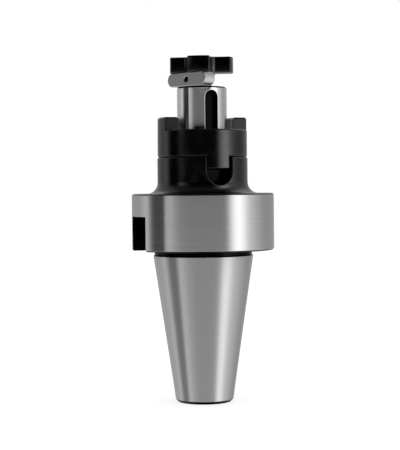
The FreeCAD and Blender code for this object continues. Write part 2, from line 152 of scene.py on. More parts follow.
def new_node(tree, kind, inputs=None, **values):
    """A node with its own values set and each input given a value or another node's output."""
    node = tree.nodes.new(kind)
    for name, value in values.items():
        setattr(node, name, value)
    for key, value in (inputs or {}).items():
        if isinstance(value, bpy.types.NodeSocket):
            tree.links.new(value, node.inputs[key])
        else:
            node.inputs[key].default_value = value
    return node


def calculate(tree, operation, first, second=0.0):
    """The output of one step of arithmetic."""
    return new_node(tree, "ShaderNodeMath", {0: first, 1: second}, operation=operation).outputs[0]


def remap(tree, value, low, high, new_low=0.0, new_high=1.0):
    """A value moved from one range to another and held inside it."""
    inputs = {"Value": value, 1: low, 2: high, 3: new_low, 4: new_high}
    return new_node(tree, "ShaderNodeMapRange", inputs).outputs["Result"]


def new_material(name):
    """An empty node material and its node tree."""
    material = bpy.data.materials.new(name)
    material.use_nodes = True
    tree = material.node_tree
    tree.nodes.clear()
    return material, tree


def show(tree, shader):
    """Join a shader to the material's output."""
    new_node(tree, "ShaderNodeOutputMaterial", {"Surface": shader})


def noise(tree, vector, scale, detail=2.0):
    """A noise texture's values from 0 to 1."""
    inputs = {"Vector": vector, "Scale": scale, "Detail": detail}
    return new_node(tree, "ShaderNodeTexNoise", inputs).outputs["Fac"]


class Place:
    """Where a point of a turned surface lies: its position, height and distance from the axis."""

    def __init__(self, tree):
        self.position = new_node(tree, "ShaderNodeTexCoord").outputs["Object"]
        parts = new_node(tree, "ShaderNodeSeparateXYZ", {"Vector": self.position})
        self.across = parts.outputs["X"]
        self.height = parts.outputs["Z"]
        level = new_node(
            tree, "ShaderNodeVectorMath", {0: self.position, 1: (1, 1, 0)}, operation="MULTIPLY"
        )
        self.radius = new_node(
            tree, "ShaderNodeVectorMath", {0: level.outputs["Vector"]}, operation="LENGTH"
        ).outputs["Value"]


# Lines of a turned or ground surface, in lines for each metre
FINE_LINES = 5200
COARSE_LINES = 1300
SLOW_CHANGE = 25


def turned_lines(tree, place, lines):
    """Noise drawn out into rings round the axis, with slow changes along each ring."""
    vector = new_node(
        tree,
        "ShaderNodeCombineXYZ",
        {
            "X": calculate(tree, "MULTIPLY", place.radius, lines),
            "Y": calculate(tree, "MULTIPLY", place.height, lines),
            "Z": calculate(tree, "MULTIPLY", place.across, SLOW_CHANGE),
        },
    ).outputs["Vector"]
    return noise(tree, vector, 1.0)


# Where the arbor is ground: from this height to this height and beyond this radius, in
# millimetres, how rough it is, and how much brighter its colour is painted as light, both against
# the mean
GROUND_PLACES = (
    (-64.15, -0.45, 12.0, 1.38, 1.0),
    (2.6, 26.4, 31.4, 1.0, 1.04),
    (43.05, 73.3, 10.95, 0.78, 1.50),
)
# The small end, neck, slots and holes, where the black surfaces' gloss is lowered as painted
# shade: from this height to this height, within this radius, in millimetres
SHADED_PLACES = (
    (-65.5, -64.1, 12.9),
    (-0.4, 2.05, 22.4),
    (2.1, 26.4, 31.2),
    (29.0, 42.9, 19.3),
    (43.05, 73.9, 10.9),
)


def between(tree, place, low, high):
    """1 from one height to another, in millimetres, and 0 elsewhere."""
    above = calculate(tree, "GREATER_THAN", place.height, low * MM)
    below = calculate(tree, "LESS_THAN", place.height, high * MM)
    return calculate(tree, "MULTIPLY", above, below)


def ground_share(tree, place):
    """1 where the arbor is ground and 0 where it is black, how rough it is there, and how much
    brighter its colour is painted there as light.
    """
    total = 0.0
    rougher = 0.0
    painted_light = 0.0
    for low, high, radius, rough_factor, painted_light_factor in GROUND_PLACES:
        outside = calculate(tree, "GREATER_THAN", place.radius, radius * MM)
        region = calculate(tree, "MULTIPLY", between(tree, place, low, high), outside)
        total = calculate(tree, "ADD", total, region)
        rough_here = calculate(tree, "MULTIPLY", region, rough_factor)
        rougher = calculate(tree, "ADD", rougher, rough_here)
        painted_light_here = calculate(tree, "MULTIPLY", region, painted_light_factor)
        painted_light = calculate(tree, "ADD", painted_light, painted_light_here)
    return total, rougher, painted_light


def painted_shade_share(tree, place):
    """1 where the arbor's black surfaces lose their gloss as painted shade in its hollows, and 0
    elsewhere.
    """
    total = 0.0
    for low, high, radius in SHADED_PLACES:
        inside = calculate(tree, "LESS_THAN", place.radius, radius * MM)
        region = calculate(tree, "MULTIPLY", between(tree, place, low, high), inside)
        total = calculate(tree, "ADD", total, region)
    return total


def blend_values(tree, factor, first, second):
    """A number between two others."""
    inputs = {"Factor": factor, "A": first, "B": second}
    return new_node(tree, "ShaderNodeMix", inputs, data_type="FLOAT").outputs["Result"]


# The mix node's sockets for colours
FIRST_COLOUR = 6
SECOND_COLOUR = 7
MIXED_COLOUR = 2


def blend_colours(tree, factor, first, second):
    """A colour between two others."""
    node = new_node(tree, "ShaderNodeMix", {"Factor": factor}, data_type="RGBA")
    for index, value in ((FIRST_COLOUR, first), (SECOND_COLOUR, second)):
        if isinstance(value, bpy.types.NodeSocket):
            tree.links.new(value, node.inputs[index])
        else:
            node.inputs[index].default_value = (*value, 1)
    return node.outputs[MIXED_COLOUR]


# A quarter turn, so that the gloss spreads across the grinding lines
ACROSS_LINES = 0.25
# Height of the oxide's grain, and of the steel's lines as a share of it
GRAIN_HEIGHT = 0.0015 * MM
STEEL_DEPTH = 0.38
# Gloss of the oxide in the open, and in the deep places, where it is lowered as painted shade
OUTER_GLOSS = 0.73
SHADE_GLOSS = 0.06
# Where most of a noise texture's values lie
USUAL = (0.3, 0.7)
# The ground steel: share of the coarse lines, darkest and brightest lines, change of roughness
COARSE_SHARE = 0.4
STEEL_TONES = (0.95, 1.04)
STEEL_ROUGH_CHANGE = 0.02
# The black oxide: clouds and grains in each metre, and the clouds' detail, limits, tones and
# change of roughness
CLOUDS = 260
GRAINS = 4200
CLOUD_DETAIL = 3.0
CLOUD_LIMITS = (0.35, 0.65)
CLOUD_TONES = (0.7, 1.4)
CLOUD_ROUGH_CHANGE = 0.04


def around(tree, pattern, middle, change):
    """A roughness that follows a noise texture a little to both sides of its mean."""
    return remap(tree, pattern, *USUAL, middle - change, middle + change)


def steel_look(tree, place, finishes, rougher, painted_light):
    """Colour, roughness and height of a ground surface, its colour scaled brighter in places as
    painted light.
    """
    fine = turned_lines(tree, place, FINE_LINES)
    coarse = turned_lines(tree, place, COARSE_LINES)
    lines = blend_values(tree, COARSE_SHARE, fine, coarse)
    darker, lighter = (Vector(finishes.steel) * tone for tone in STEEL_TONES)
    colour = blend_colours(tree, remap(tree, lines, *USUAL), darker, lighter)
    # painted light: the steel's colour is scaled brighter in the places that ask for it
    colour = new_node(
        tree, "ShaderNodeVectorMath", {0: colour, "Scale": painted_light}, operation="SCALE"
    ).outputs["Vector"]
    roughness = around(tree, lines, finishes.steel_roughness, STEEL_ROUGH_CHANGE)
    return colour, calculate(tree, "MULTIPLY", roughness, rougher), lines


def oxide_look(tree, place, finishes):
    """Colour, roughness and height of a blackened surface."""
    cloud = noise(tree, place.position, CLOUDS, CLOUD_DETAIL)
    grain = noise(tree, place.position, GRAINS)
    darker, lighter = (Vector(finishes.oxide) * tone for tone in CLOUD_TONES)
    colour = blend_colours(tree, remap(tree, cloud, *CLOUD_LIMITS), darker, lighter)
    roughness = around(tree, cloud, finishes.oxide_roughness, CLOUD_ROUGH_CHANGE)
    return colour, roughness, grain


# Radius at which each edge looks broken, and how finely that is worked out
EDGE_BREAK = 0.35 * MM
EDGE_SAMPLES = 8


def bump(tree, height):
    """Normals of a surface's lines or grain, with each edge broken."""
    edges = new_node(tree, "ShaderNodeBevel", {"Radius": EDGE_BREAK}, samples=EDGE_SAMPLES)
    inputs = {
        "Height": height,
        "Distance": GRAIN_HEIGHT,
        "Strength": 1.0,
        "Normal": edges.outputs["Normal"],
    }
    return new_node(tree, "ShaderNodeBump", inputs).outputs["Normal"]


def arbor_material(finishes):
    """The arbor's finish: ground where it seats and blackened elsewhere."""
    material, tree = new_material("arbor_ground_and_black")
    place = Place(tree)
    ground, rougher, painted_light = ground_share(tree, place)
    steel_colour, steel_roughness, steel_height = steel_look(
        tree, place, finishes, rougher, painted_light
    )
    oxide_colour, oxide_roughness, oxide_height = oxide_look(tree, place, finishes)
    fine_height = calculate(tree, "MULTIPLY", steel_height, STEEL_DEPTH)
    height = blend_values(tree, ground, oxide_height, fine_height)
    # painted shade: the gloss drops in the hollows, so that they look dark
    gloss = blend_values(tree, painted_shade_share(tree, place), OUTER_GLOSS, SHADE_GLOSS)
    tangent = new_node(tree, "ShaderNodeTangent", direction_type="RADIAL", axis="Z")
    shader = new_node(
        tree,
        "ShaderNodeBsdfPrincipled",
        {
            "Base Color": blend_colours(tree, ground, oxide_colour, steel_colour),
            "Metallic": ground,
            "Roughness": blend_values(tree, ground, oxide_roughness, steel_roughness),
            "Specular IOR Level": gloss,
            "Anisotropic": ground,
            "Anisotropic Rotation": ACROSS_LINES,
            "Tangent": tangent.outputs["Tangent"],
            "Normal": bump(tree, height),
        },
    )
    show(tree, shader.outputs["BSDF"])
    return material


def oxide_material(finishes):
    """Black oxide all over."""
    material, tree = new_material("black_oxide")
    place = Place(tree)
    colour, roughness, height = oxide_look(tree, place, finishes)
    shader = new_node(
        tree,
        "ShaderNodeBsdfPrincipled",
        {
            "Base Color": colour,
            "Roughness": roughness,
            "Specular IOR Level": OUTER_GLOSS,
            "Normal": bump(tree, height),
        },
    )
    show(tree, shader.outputs["BSDF"])
    return material


# The key's direction round the axis, its middle, and the radius of its hole, which is painted near
# black as shade
KEY_TURN = math.radians(-71.6)
KEY_MIDDLE = sum(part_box("feather_key"), Vector()) / 2
KEY_HOLE_RADIUS = 1.28 * MM
# The key: changes along each metre of its lines, darkest and brightest lines, change of roughness
KEY_CHANGES = 100
KEY_TONES = (0.9, 1.08)
KEY_ROUGH_CHANGE = 0.04


def key_material(finishes):
    """The key's ground faces, with straight lines along its length, and its hole painted near black
    as shade.
    """
    material, tree = new_material("key_ground")
    place = Place(tree)
    along = new_node(
        tree,
        "ShaderNodeVectorMath",
        {0: place.position, 1: (math.cos(KEY_TURN), math.sin(KEY_TURN), 0)},
        operation="DOT_PRODUCT",
    ).outputs["Value"]
    across = new_node(
        tree,
        "ShaderNodeVectorMath",
        {0: place.position, 1: (math.sin(KEY_TURN), -math.cos(KEY_TURN), 0)},
        operation="DOT_PRODUCT",
    ).outputs["Value"]
    vector = new_node(
        tree,
        "ShaderNodeCombineXYZ",
        {
            "X": calculate(tree, "MULTIPLY", along, KEY_CHANGES),
            "Y": calculate(tree, "MULTIPLY", across, FINE_LINES),
            "Z": calculate(tree, "MULTIPLY", place.height, FINE_LINES),
        },
    ).outputs["Vector"]
    lines = noise(tree, vector, 1.0)
    middle_along = KEY_MIDDLE.x * math.cos(KEY_TURN) + KEY_MIDDLE.y * math.sin(KEY_TURN)
    from_hole = new_node(
        tree,
        "ShaderNodeCombineXYZ",
        {
            "X": calculate(tree, "SUBTRACT", along, middle_along),
            "Z": calculate(tree, "SUBTRACT", place.height, KEY_MIDDLE.z),
        },
    ).outputs["Vector"]
    distance = new_node(
        tree, "ShaderNodeVectorMath", {0: from_hole}, operation="LENGTH"
    ).outputs["Value"]
    painted_hole_shade = calculate(tree, "LESS_THAN", distance, KEY_HOLE_RADIUS)
    darker, lighter = (Vector(finishes.key_steel) * tone for tone in KEY_TONES)
    faces = blend_colours(tree, lines, darker, lighter)
    shader = new_node(
        tree,
        "ShaderNodeBsdfPrincipled",
        {
            # painted shade: the hole is given the oxide's near-black colour
            "Base Color": blend_colours(tree, painted_hole_shade, faces, Vector(finishes.oxide)),
            "Metallic": 1.0,
            "Roughness": around(tree, lines, finishes.key_roughness, KEY_ROUGH_CHANGE),
            "Normal": bump(tree, lines),
        },
    )
    show(tree, shader.outputs["BSDF"])
    return material


def dress(node_name, material):
    """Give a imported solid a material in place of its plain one."""
    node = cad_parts[node_name]
    if not node.material_slots:
        raise RuntimeError(f"{node_name} has no material slot")
    for slot in node.material_slots:
        slot.material = material


# Edges that turn less than this look smooth, and points nearer than this are joined
SMOOTH_BELOW = math.radians(32)
JOIN_DISTANCE = 1e-7
FACES_AT_EDGE = 2


def finish_mesh(edit_mesh, name, material):
    """Make an object from an edited mesh, smooth but for its sharp edges."""
    bmesh.ops.remove_doubles(edit_mesh, verts=edit_mesh.verts, dist=JOIN_DISTANCE)
    bmesh.ops.recalc_face_normals(edit_mesh, faces=edit_mesh.faces)
    for face in edit_mesh.faces:
        face.smooth = True
    for edge in edit_mesh.edges:
        if len(edge.link_faces) != FACES_AT_EDGE:
            raise RuntimeError(f"{name} isn't closed at {edge.verts[0].co}")
        edge.smooth = edge.calc_face_angle() < SMOOTH_BELOW
    mesh = bpy.data.meshes.new(name)
    edit_mesh.to_mesh(mesh)
    edit_mesh.free()
    mesh.materials.append(material)
    piece = bpy.data.objects.new(name, mesh)
    bpy.context.scene.collection.objects.link(piece)
    return piece


# A thread's form over one pitch: share of the pitch, and 0 at the root to 1 at the crest
THREAD_FORM = (
    (0, 0),
    (1 / 8, 0.02),
    (0.42, 0.94),
    (7 / 16, 1),
    (9 / 16, 1),
    (0.58, 0.94),
    (7 / 8, 0.02),
)
STEPS_ROUND = 64
SPARE_TURNS = 2
LEVEL_WITHIN = 1e-6


def helix_surface(edit_mesh, low, high, pitch, root, crest, hold):
    """A threaded surface cut off level at both ends. hold limits the radius at a height."""
    first = math.floor(low / pitch) * pitch - SPARE_TURNS * pitch
    turns = math.ceil((high - first) / pitch) + SPARE_TURNS
    rows = []
    for step in range(turns * STEPS_ROUND):
        angle = FULL_TURN * step / STEPS_ROUND
        row = []
        for part, reach in THREAD_FORM:
            height = first + pitch * (step / STEPS_ROUND + part)
            radius = hold(height, root + (crest - root) * reach)
            point = (radius * math.cos(angle), radius * math.sin(angle), height)
            row.append(edit_mesh.verts.new(point))
        rows.append(row)
    for step in range(len(rows) - STEPS_ROUND - 1):
        here = rows[step] + [rows[step + STEPS_ROUND][0]]
        there = rows[step + 1] + [rows[step + 1 + STEPS_ROUND][0]]
        for index in range(len(THREAD_FORM)):
            edit_mesh.faces.new((here[index], there[index], there[index + 1], here[index + 1]))
    cut_level(edit_mesh, low, -1)
    cut_level(edit_mesh, high, 1)


def cut_level(edit_mesh, height, side):
    """Take away what lies above or below a height."""
    everything = edit_mesh.verts[:] + edit_mesh.edges[:] + edit_mesh.faces[:]
    bmesh.ops.bisect_plane(
        edit_mesh,
        geom=everything,
        dist=JOIN_DISTANCE,
        plane_co=(0, 0, height),
        plane_no=(0, 0, side),
        clear_outer=True,
    )


def open_edges(edit_mesh, height):
    """Edges at a height that have one face."""
    found = []
    for edge in edit_mesh.edges:
        level = all(abs(vertex.co.z - height) < LEVEL_WITHIN for vertex in edge.verts)
        if level and len(edge.link_faces) < FACES_AT_EDGE:
            found.append(edge)
    return found


def add_ring(edit_mesh, points, height):
    """A closed ring of edges through level points."""
    corners = [edit_mesh.verts.new((x, y, height)) for x, y in points]
    for index, corner in enumerate(corners):
        edit_mesh.edges.new((corners[index - 1], corner))
    return corners


def join_rings(edit_mesh, lower, upper):
    """Faces between two rings with as many corners."""
    for index in range(len(lower)):
        edit_mesh.faces.new((lower[index - 1], lower[index], upper[index], upper[index - 1]))


def circle(radius, count, start=0.0):
    """Level points round the axis."""
    angles = [start + FULL_TURN * index / count for index in range(count)]
    return [(radius * math.cos(angle), radius * math.sin(angle)) for angle in angles]


def arc(centre, radius, first, last, count):
    """Level points along an arc, both ends among them."""
    points = []
    for index in range(count + 1):
        angle = first + (last - first) * index / count
        points.append((centre[0] + radius * math.cos(angle), centre[1] + radius * math.sin(angle)))
    return points


# Steps along each arc of the head's outline
CORNER_STEPS = 5
LOBE_STEPS = 10
NOTCH_STEPS = 12


def head_outline(threads, inset):
    """The cross-shaped head's outline, moved in by a distance."""
    radius = threads.head_diameter / 2 - inset
    half_width = threads.lobe_width / 2 - inset
    corner = threads.lobe_corner - inset / 2
    notch = threads.notch_radius + inset
    notch_centre = threads.lobe_width / 2 + threads.notch_radius
    corner_x = math.sqrt((radius - corner) ** 2 - (half_width - corner) ** 2)
    corner_y = half_width - corner
    spread = math.atan2(corner_y, corner_x)
    lobe = arc((corner_x, -corner_y), corner, -QUARTER_TURN, -spread, CORNER_STEPS)[:-1]
    lobe += arc((0, 0), radius, -spread, spread, LOBE_STEPS)
    lobe += arc((corner_x, corner_y), corner, spread, QUARTER_TURN, CORNER_STEPS)[1:]
    middle = (notch_centre, notch_centre)
    lobe += arc(middle, notch, 3 * QUARTER_TURN, 2 * QUARTER_TURN, NOTCH_STEPS)
    points = []
    for quarter in range(SQUARE_SIDES):
        angle = threads.head_turn + quarter * QUARTER_TURN
        cosine, sine = math.cos(angle), math.sin(angle)
        points += [(x * cosine - y * sine, x * sine + y * cosine) for x, y in lobe]
    return points


RIM_STEPS = 4
CENTRE_SIDES = 32
# Half of the angle of the centre hole's mouth, and of a drill's point
MOUTH_SLOPE = math.radians(30)
DRILL_SLOPE = math.radians(59)
# Height of an outer and of an inner thread, as shares of the pitch
THREAD_HEIGHT = 0.6134
HOLE_THREAD_HEIGHT = 0.5413
# The plain length below the head, and the length in which the thread runs out
PLAIN_NECK = 3.8 * MM
RUN_OUT = 1.9 * MM


def build_screw(threads, material):
    """The retaining screw: cross-shaped head, plain neck and thread, as one closed mesh."""
    edit_mesh = bmesh.new()
    crest = threads.screw_diameter / 2
    root = crest - THREAD_HEIGHT * threads.screw_pitch
    head_bottom = HEAD_TOP - threads.head_height
    neck = head_bottom - PLAIN_NECK
    fade = neck - RUN_OUT

    def hold(height, radius):
        filled = max(0.0, min(1.0, (height - fade) / (neck - fade)))
        radius = max(radius, root + (crest - root) * filled)
        return min(radius, crest - threads.screw_chamfer + max(0.0, height - SCREW_END))

    helix_surface(edit_mesh, SCREW_END, neck, threads.screw_pitch, root, crest, hold)
    bmesh.ops.triangle_fill(edit_mesh, edges=open_edges(edit_mesh, SCREW_END), use_beauty=True)
    raised = bmesh.ops.extrude_edge_only(edit_mesh, edges=open_edges(edit_mesh, neck))
    for item in raised["geom"]:
        if isinstance(item, bmesh.types.BMVert):
            item.co.z = head_bottom

    # head, from its lower face up round both rims to its upper face
    rim = threads.rim_radius
    levels = []
    for step in range(RIM_STEPS + 1):
        angle = QUARTER_TURN * step / RIM_STEPS
        levels.append((rim * (1 - math.sin(angle)), head_bottom + rim * (1 - math.cos(angle))))
    for step in range(RIM_STEPS + 1):
        angle = QUARTER_TURN * step / RIM_STEPS
        levels.append((rim * (1 - math.cos(angle)), HEAD_TOP - rim * (1 - math.sin(angle))))
    rings = [add_ring(edit_mesh, head_outline(threads, inset), height) for inset, height in levels]
    for lower, upper in zip(rings, rings[1:]):
        join_rings(edit_mesh, lower, upper)

    # centre hole
    mouth = threads.centre_mouth / 2
    drill = threads.centre_drill / 2
    cone_depth = (mouth - drill) / math.tan(MOUTH_SLOPE)
    hole = [add_ring(edit_mesh, circle(mouth, CENTRE_SIDES), HEAD_TOP)]
    for radius, depth in ((drill, cone_depth), (drill, threads.centre_depth)):
        hole.append(add_ring(edit_mesh, circle(radius, CENTRE_SIDES), HEAD_TOP - depth))
    for upper, lower in zip(hole, hole[1:]):
        join_rings(edit_mesh, lower, upper)
    point_depth = drill / math.tan(DRILL_SLOPE)
    point = edit_mesh.verts.new((0, 0, HEAD_TOP - threads.centre_depth - point_depth))
    last = hole[-1]
    for index in range(CENTRE_SIDES):
        edit_mesh.faces.new((last[index - 1], last[index], point))

    for height in (head_bottom, HEAD_TOP):
        bmesh.ops.triangle_fill(edit_mesh, edges=open_edges(edit_mesh, height), use_beauty=True)
    return finish_mesh(edit_mesh, "retaining_screw_threaded", material)


def build_hole_thread(name, low, high, pitch, diameter, wall, clearance, lead_low, material):
    """A threaded wall for a hole, set into the solid round it."""
    edit_mesh = bmesh.new()
    crest = diameter / 2 + clearance
    root = diameter / 2 - HOLE_THREAD_HEIGHT * pitch

    def hold(height, radius):
        from_low = height - low if lead_low else high - height
        return max(radius, min(crest, crest - from_low))

    helix_surface(edit_mesh, low, high, pitch, root, crest, hold)
    lower = add_ring(edit_mesh, circle(wall, STEPS_ROUND), low)
    upper = add_ring(edit_mesh, circle(wall, STEPS_ROUND), high)
    join_rings(edit_mesh, lower, upper)
    for height in (low, high):
        bmesh.ops.triangle_fill(edit_mesh, edges=open_edges(edit_mesh, height), use_beauty=True)
    return finish_mesh(edit_mesh, name, material)


class ARBOR_OT_finish_arbor(bpy.types.Operator):
    """Give the arbor its ground and blackened surfaces"""

    bl_idname = "arbor.finish_arbor"
    bl_label = "Finish the arbor"

    def execute(self, context):
        _, finishes, _ = settings()
        dress("arbor_body", arbor_material(finishes))
        return {"FINISHED"}


class ARBOR_OT_finish_loose_pieces(bpy.types.Operator):
    """Give the driver ring black oxide and the feather key ground faces"""

    bl_idname = "arbor.finish_loose_pieces"
    bl_label = "Finish the ring and the key"

    def execute(self, context):
        _, finishes, _ = settings()
        dress("driver_ring", oxide_material(finishes))
        dress("feather_key", key_material(finishes))
        return {"FINISHED"}


class ARBOR_OT_retaining_screw(bpy.types.Operator):
    """Build the retaining screw with its thread, in place of the plain solid"""

    bl_idname = "arbor.retaining_screw"
    bl_label = "Build the retaining screw"

    def execute(self, context):
        threads, finishes, _ = settings()
        screw = build_screw(threads, oxide_material(finishes))
        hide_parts("retaining_screw")
        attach(screw, "screw")
        return {"FINISHED"}


# The screw hole's thread: how far below the spigot's end it starts and how long it is
HOLE_LEAD = 0.85 * MM
HOLE_THREAD_LENGTH = 32 * MM
# How far each threaded wall reaches beyond the thread's stated radius, and how far the thread's
# own outer radius stands from it
SCREW_WALL = 0.07 * MM
SCREW_ROOM = 0.04 * MM
DRAWBAR_WALL = 0.03 * MM
DRAWBAR_ROOM = -0.02 * MM


class ARBOR_OT_hole_threads(bpy.types.Operator):
    """Cut the threads in the hole for the screw and in the drawbar's hole"""

    bl_idname = "arbor.hole_threads"
    bl_label = "Thread the holes"

    def execute(self, context):
        threads, finishes, _ = settings()
        material = oxide_material(finishes)
        screw_top = SPIGOT_TOP - HOLE_LEAD
        screw_thread = build_hole_thread(
            "screw_hole_thread",
            screw_top - HOLE_THREAD_LENGTH,
            screw_top,
            threads.screw_pitch,
            threads.screw_diameter,
            threads.screw_diameter / 2 + SCREW_WALL,
            SCREW_ROOM,
            False,
            material,
        )
        drawbar_low = SHANK_END + threads.drawbar_start
        drawbar_thread = build_hole_thread(
            "drawbar_hole_thread",
            drawbar_low,
            drawbar_low + threads.drawbar_length,
            threads.drawbar_pitch,
            threads.drawbar_diameter,
            threads.drawbar_diameter / 2 + DRAWBAR_WALL,
            DRAWBAR_ROOM,
            True,
            material,
        )
        for piece in (screw_thread, drawbar_thread):
            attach(piece, "arbor")
        return {"FINISHED"}


# The light that metal sees round the axis from the camera's own side, in each zone from the
# lowest to the highest: degrees to the right, and brightness where 1 is white
LOWER_LIGHT = (
    (-180, 0.60),
    (-125, 0.68),
    (-112, 0.80),
    (-103, 0.98),
    (-98, 0.80),
    (-92, 0.40),
    (-88, 0.16),
    (-80, 0.10),
    (-66, 0.10),
    (-63, 1.15),
    (-40, 0.86),
    (-20, 0.76),
    (38, 0.76),
    (50, 1.10),
    (60, 1.40),
    (70, 1.25),
    (85, 0.95),
    (98, 0.95),
    (113, 0.80),
    (130, 0.55),
    (145, 0.48),
    (180, 0.52),
)
LEVEL_LIGHT = (
    (-180, 0.36),
    (-125, 0.34),
    (-116, 0.40),
    (-110, 0.56),
    (-103, 0.56),
    (-97, 0.38),
    (-93, 0.06),
    (-87, 0.0),
    (-66, 0.0),
    (-63, 0.06),
    (-50, 0.05),
    (-45, 0.0),
    (36, 0.0),
    (41, 0.3),
    (47, 1.4),
    (56, 2.3),
    (62, 2.9),
    (69, 2.25),
    (76, 1.25),
    (83, 0.82),
    (90, 0.52),
    (97, 0.37),
    (113, 0.27),
    (135, 0.36),
    (180, 0.40),
)
UPPER_LIGHT = (
    (-180, 0.50),
    (-145, 0.45),
    (-125, 0.45),
    (-103, 0.50),
    (-97, 0.20),
    (-92, 0.02),
    (-66, 0.01),
    (-63, 0.68),
    (-52, 0.6),
    (-47, 0.3),
    (-41, 0.12),
    (-33, 0.0),
    (36, 0.0),
    (41, 0.4),
    (46, 0.9),
    (53, 1.5),
    (59, 1.4),
    (64, 0.75),
    (90, 0.62),
    (97, 0.52),
    (113, 0.33),
    (150, 0.40),
    (180, 0.50),
)
HIGH_LIGHT = (
    (-180, 1.00),
    (-164, 0.90),
    (-148, 0.42),
    (-103, 0.36),
    (-95, 0.15),
    (-50, 0.12),
    (-38, 0.03),
    (36, 0.03),
    (46, 0.40),
    (56, 1.60),
    (64, 2.40),
    (72, 2.00),
    (82, 0.90),
    (90, 0.50),
    (115, 0.42),
    (150, 0.80),
    (180, 1.00),
)
END_LIGHT = ((-180, 0.08), (180, 0.08))
# Where one zone gives way to the next, in degrees above the level
ZONES = (
    (END_LIGHT, (-76, -62)),
    (LOWER_LIGHT, (-8, -4)),
    (LEVEL_LIGHT, (4, 7)),
    (UPPER_LIGHT, (20, 36)),
    (HIGH_LIGHT, (46, 64)),
    (END_LIGHT, None),
)
# The dark panel on the left: the soft edge below it, its sides round the axis, and the light
# under it
FLAG_EDGE = (-35, -25)
FLAG_SIDES = (-101, -64)
BELOW_FLAG = 0.85
# The panels' colours are shares of this strength
BRIGHTEST = 8.0
SURROUND_RADIUS = 2.0
SURROUND_SIDES = 96
SURROUND_RINGS = 48
RAMP_MIDDLE = 0.5
DEGREES_ROUND = 360


def light_round(tree, share_round, stops):
    """The light of one kind of panel, which changes round the axis."""
    ramp = new_node(tree, "ShaderNodeValToRGB", {"Fac": share_round})
    elements = ramp.color_ramp.elements
    while len(elements) < len(stops):
        elements.new(RAMP_MIDDLE)
    for element, (degrees, brightness) in zip(elements, stops):
        element.position = RAMP_MIDDLE + degrees / DEGREES_ROUND
        grey = brightness / BRIGHTEST
        element.color = (grey, grey, grey, 1)
    return ramp.outputs["Color"]


def edge_share(tree, angle, edge):
    """0 below a soft edge and 1 above it."""
    first, last = (math.radians(value) for value in edge)
    return remap(tree, angle, first, last)


def surround_material():
    """Light and dark panels round the object, seen only in its reflections."""
    material, tree = new_material("studio_panels")
    position = new_node(tree, "ShaderNodeTexCoord").outputs["Object"]
    parts = new_node(tree, "ShaderNodeSeparateXYZ", {"Vector": position})
    towards = calculate(tree, "MULTIPLY", parts.outputs["Y"], -1.0)
    azimuth = calculate(tree, "ARCTAN2", parts.outputs["X"], towards)
    share_round = remap(tree, azimuth, -math.pi, math.pi)
    sine = calculate(tree, "DIVIDE", parts.outputs["Z"], SURROUND_RADIUS)
    elevation = calculate(tree, "ARCSINE", sine)
    zones = []
    for stops, _ in ZONES:
        zones.append(light_round(tree, share_round, stops))
    below_flag = [BELOW_FLAG / BRIGHTEST] * 3
    above = edge_share(tree, elevation, FLAG_EDGE)
    under = calculate(tree, "SUBTRACT", 1.0, above)
    for side, degrees in zip(("GREATER_THAN", "LESS_THAN"), FLAG_SIDES):
        within = calculate(tree, side, azimuth, math.radians(degrees))
        under = calculate(tree, "MULTIPLY", under, within)
    zones[1] = blend_colours(tree, under, zones[1], below_flag)
    colour = zones[0]
    for zone, (_, edge) in zip(zones[1:], ZONES):
        colour = blend_colours(tree, edge_share(tree, elevation, edge), colour, zone)
    light = new_node(tree, "ShaderNodeEmission", {"Color": colour, "Strength": BRIGHTEST})
    show(tree, light.outputs["Emission"])
    return material


def build_surround(studio):
    """A round room of panels, turned to face the camera."""
    edit_mesh = bmesh.new()
    bmesh.ops.create_uvsphere(
        edit_mesh, u_segments=SURROUND_SIDES, v_segments=SURROUND_RINGS, radius=SURROUND_RADIUS
    )
    mesh = bpy.data.meshes.new("studio_surround")
    edit_mesh.to_mesh(mesh)
    edit_mesh.free()
    mesh.materials.append(surround_material())
    surround = bpy.data.objects.new("studio_surround", mesh)
    surround.rotation_euler.z = studio.camera_azimuth
    surround.visible_camera = False
    surround.visible_diffuse = False
    surround.visible_transmission = False
    surround.visible_shadow = False
    bpy.context.scene.collection.objects.link(surround)


FLOOR_RADIUS = 1.6
# The floor's own grey, and to the camera the share that shows a shadow and the light added to it
FLOOR_GREY = 0.85
FLOOR_SHADE = 0.35
FLOOR_LIFT = 0.75
# The floor lies just clear of the arbor's small end
FLOOR_GAP = 0.05 * MM


def build_floor():
    """A pale floor that looks white but for the object's soft shadow."""
    edit_mesh = bmesh.new()
    ring = add_ring(edit_mesh, circle(FLOOR_RADIUS, SURROUND_SIDES), SHANK_END - FLOOR_GAP)
    edit_mesh.faces.new(ring)
    mesh = bpy.data.meshes.new("studio_floor")
    edit_mesh.to_mesh(mesh)
    edit_mesh.free()
    material, tree = new_material("pale_floor")
    matt = new_node(tree, "ShaderNodeBsdfDiffuse", {"Color": (*[FLOOR_GREY] * 3, 1)})
    shade = new_node(tree, "ShaderNodeBsdfDiffuse", {"Color": (*[FLOOR_SHADE] * 3, 1)})
    lift = new_node(tree, "ShaderNodeEmission", {"Strength": FLOOR_LIFT})
    seen = new_node(
        tree, "ShaderNodeAddShader", {0: shade.outputs["BSDF"], 1: lift.outputs["Emission"]}
    )
    path = new_node(tree, "ShaderNodeLightPath")
    mix = new_node(
        tree,
        "ShaderNodeMixShader",
        {0: path.outputs["Is Camera Ray"], 1: matt.outputs["BSDF"], 2: seen.outputs["Shader"]},
    )
    show(tree, mix.outputs["Shader"])
    mesh.materials.append(material)
    floor = bpy.data.objects.new("studio_floor", mesh)
    floor.visible_glossy = False
    bpy.context.scene.collection.objects.link(floor)


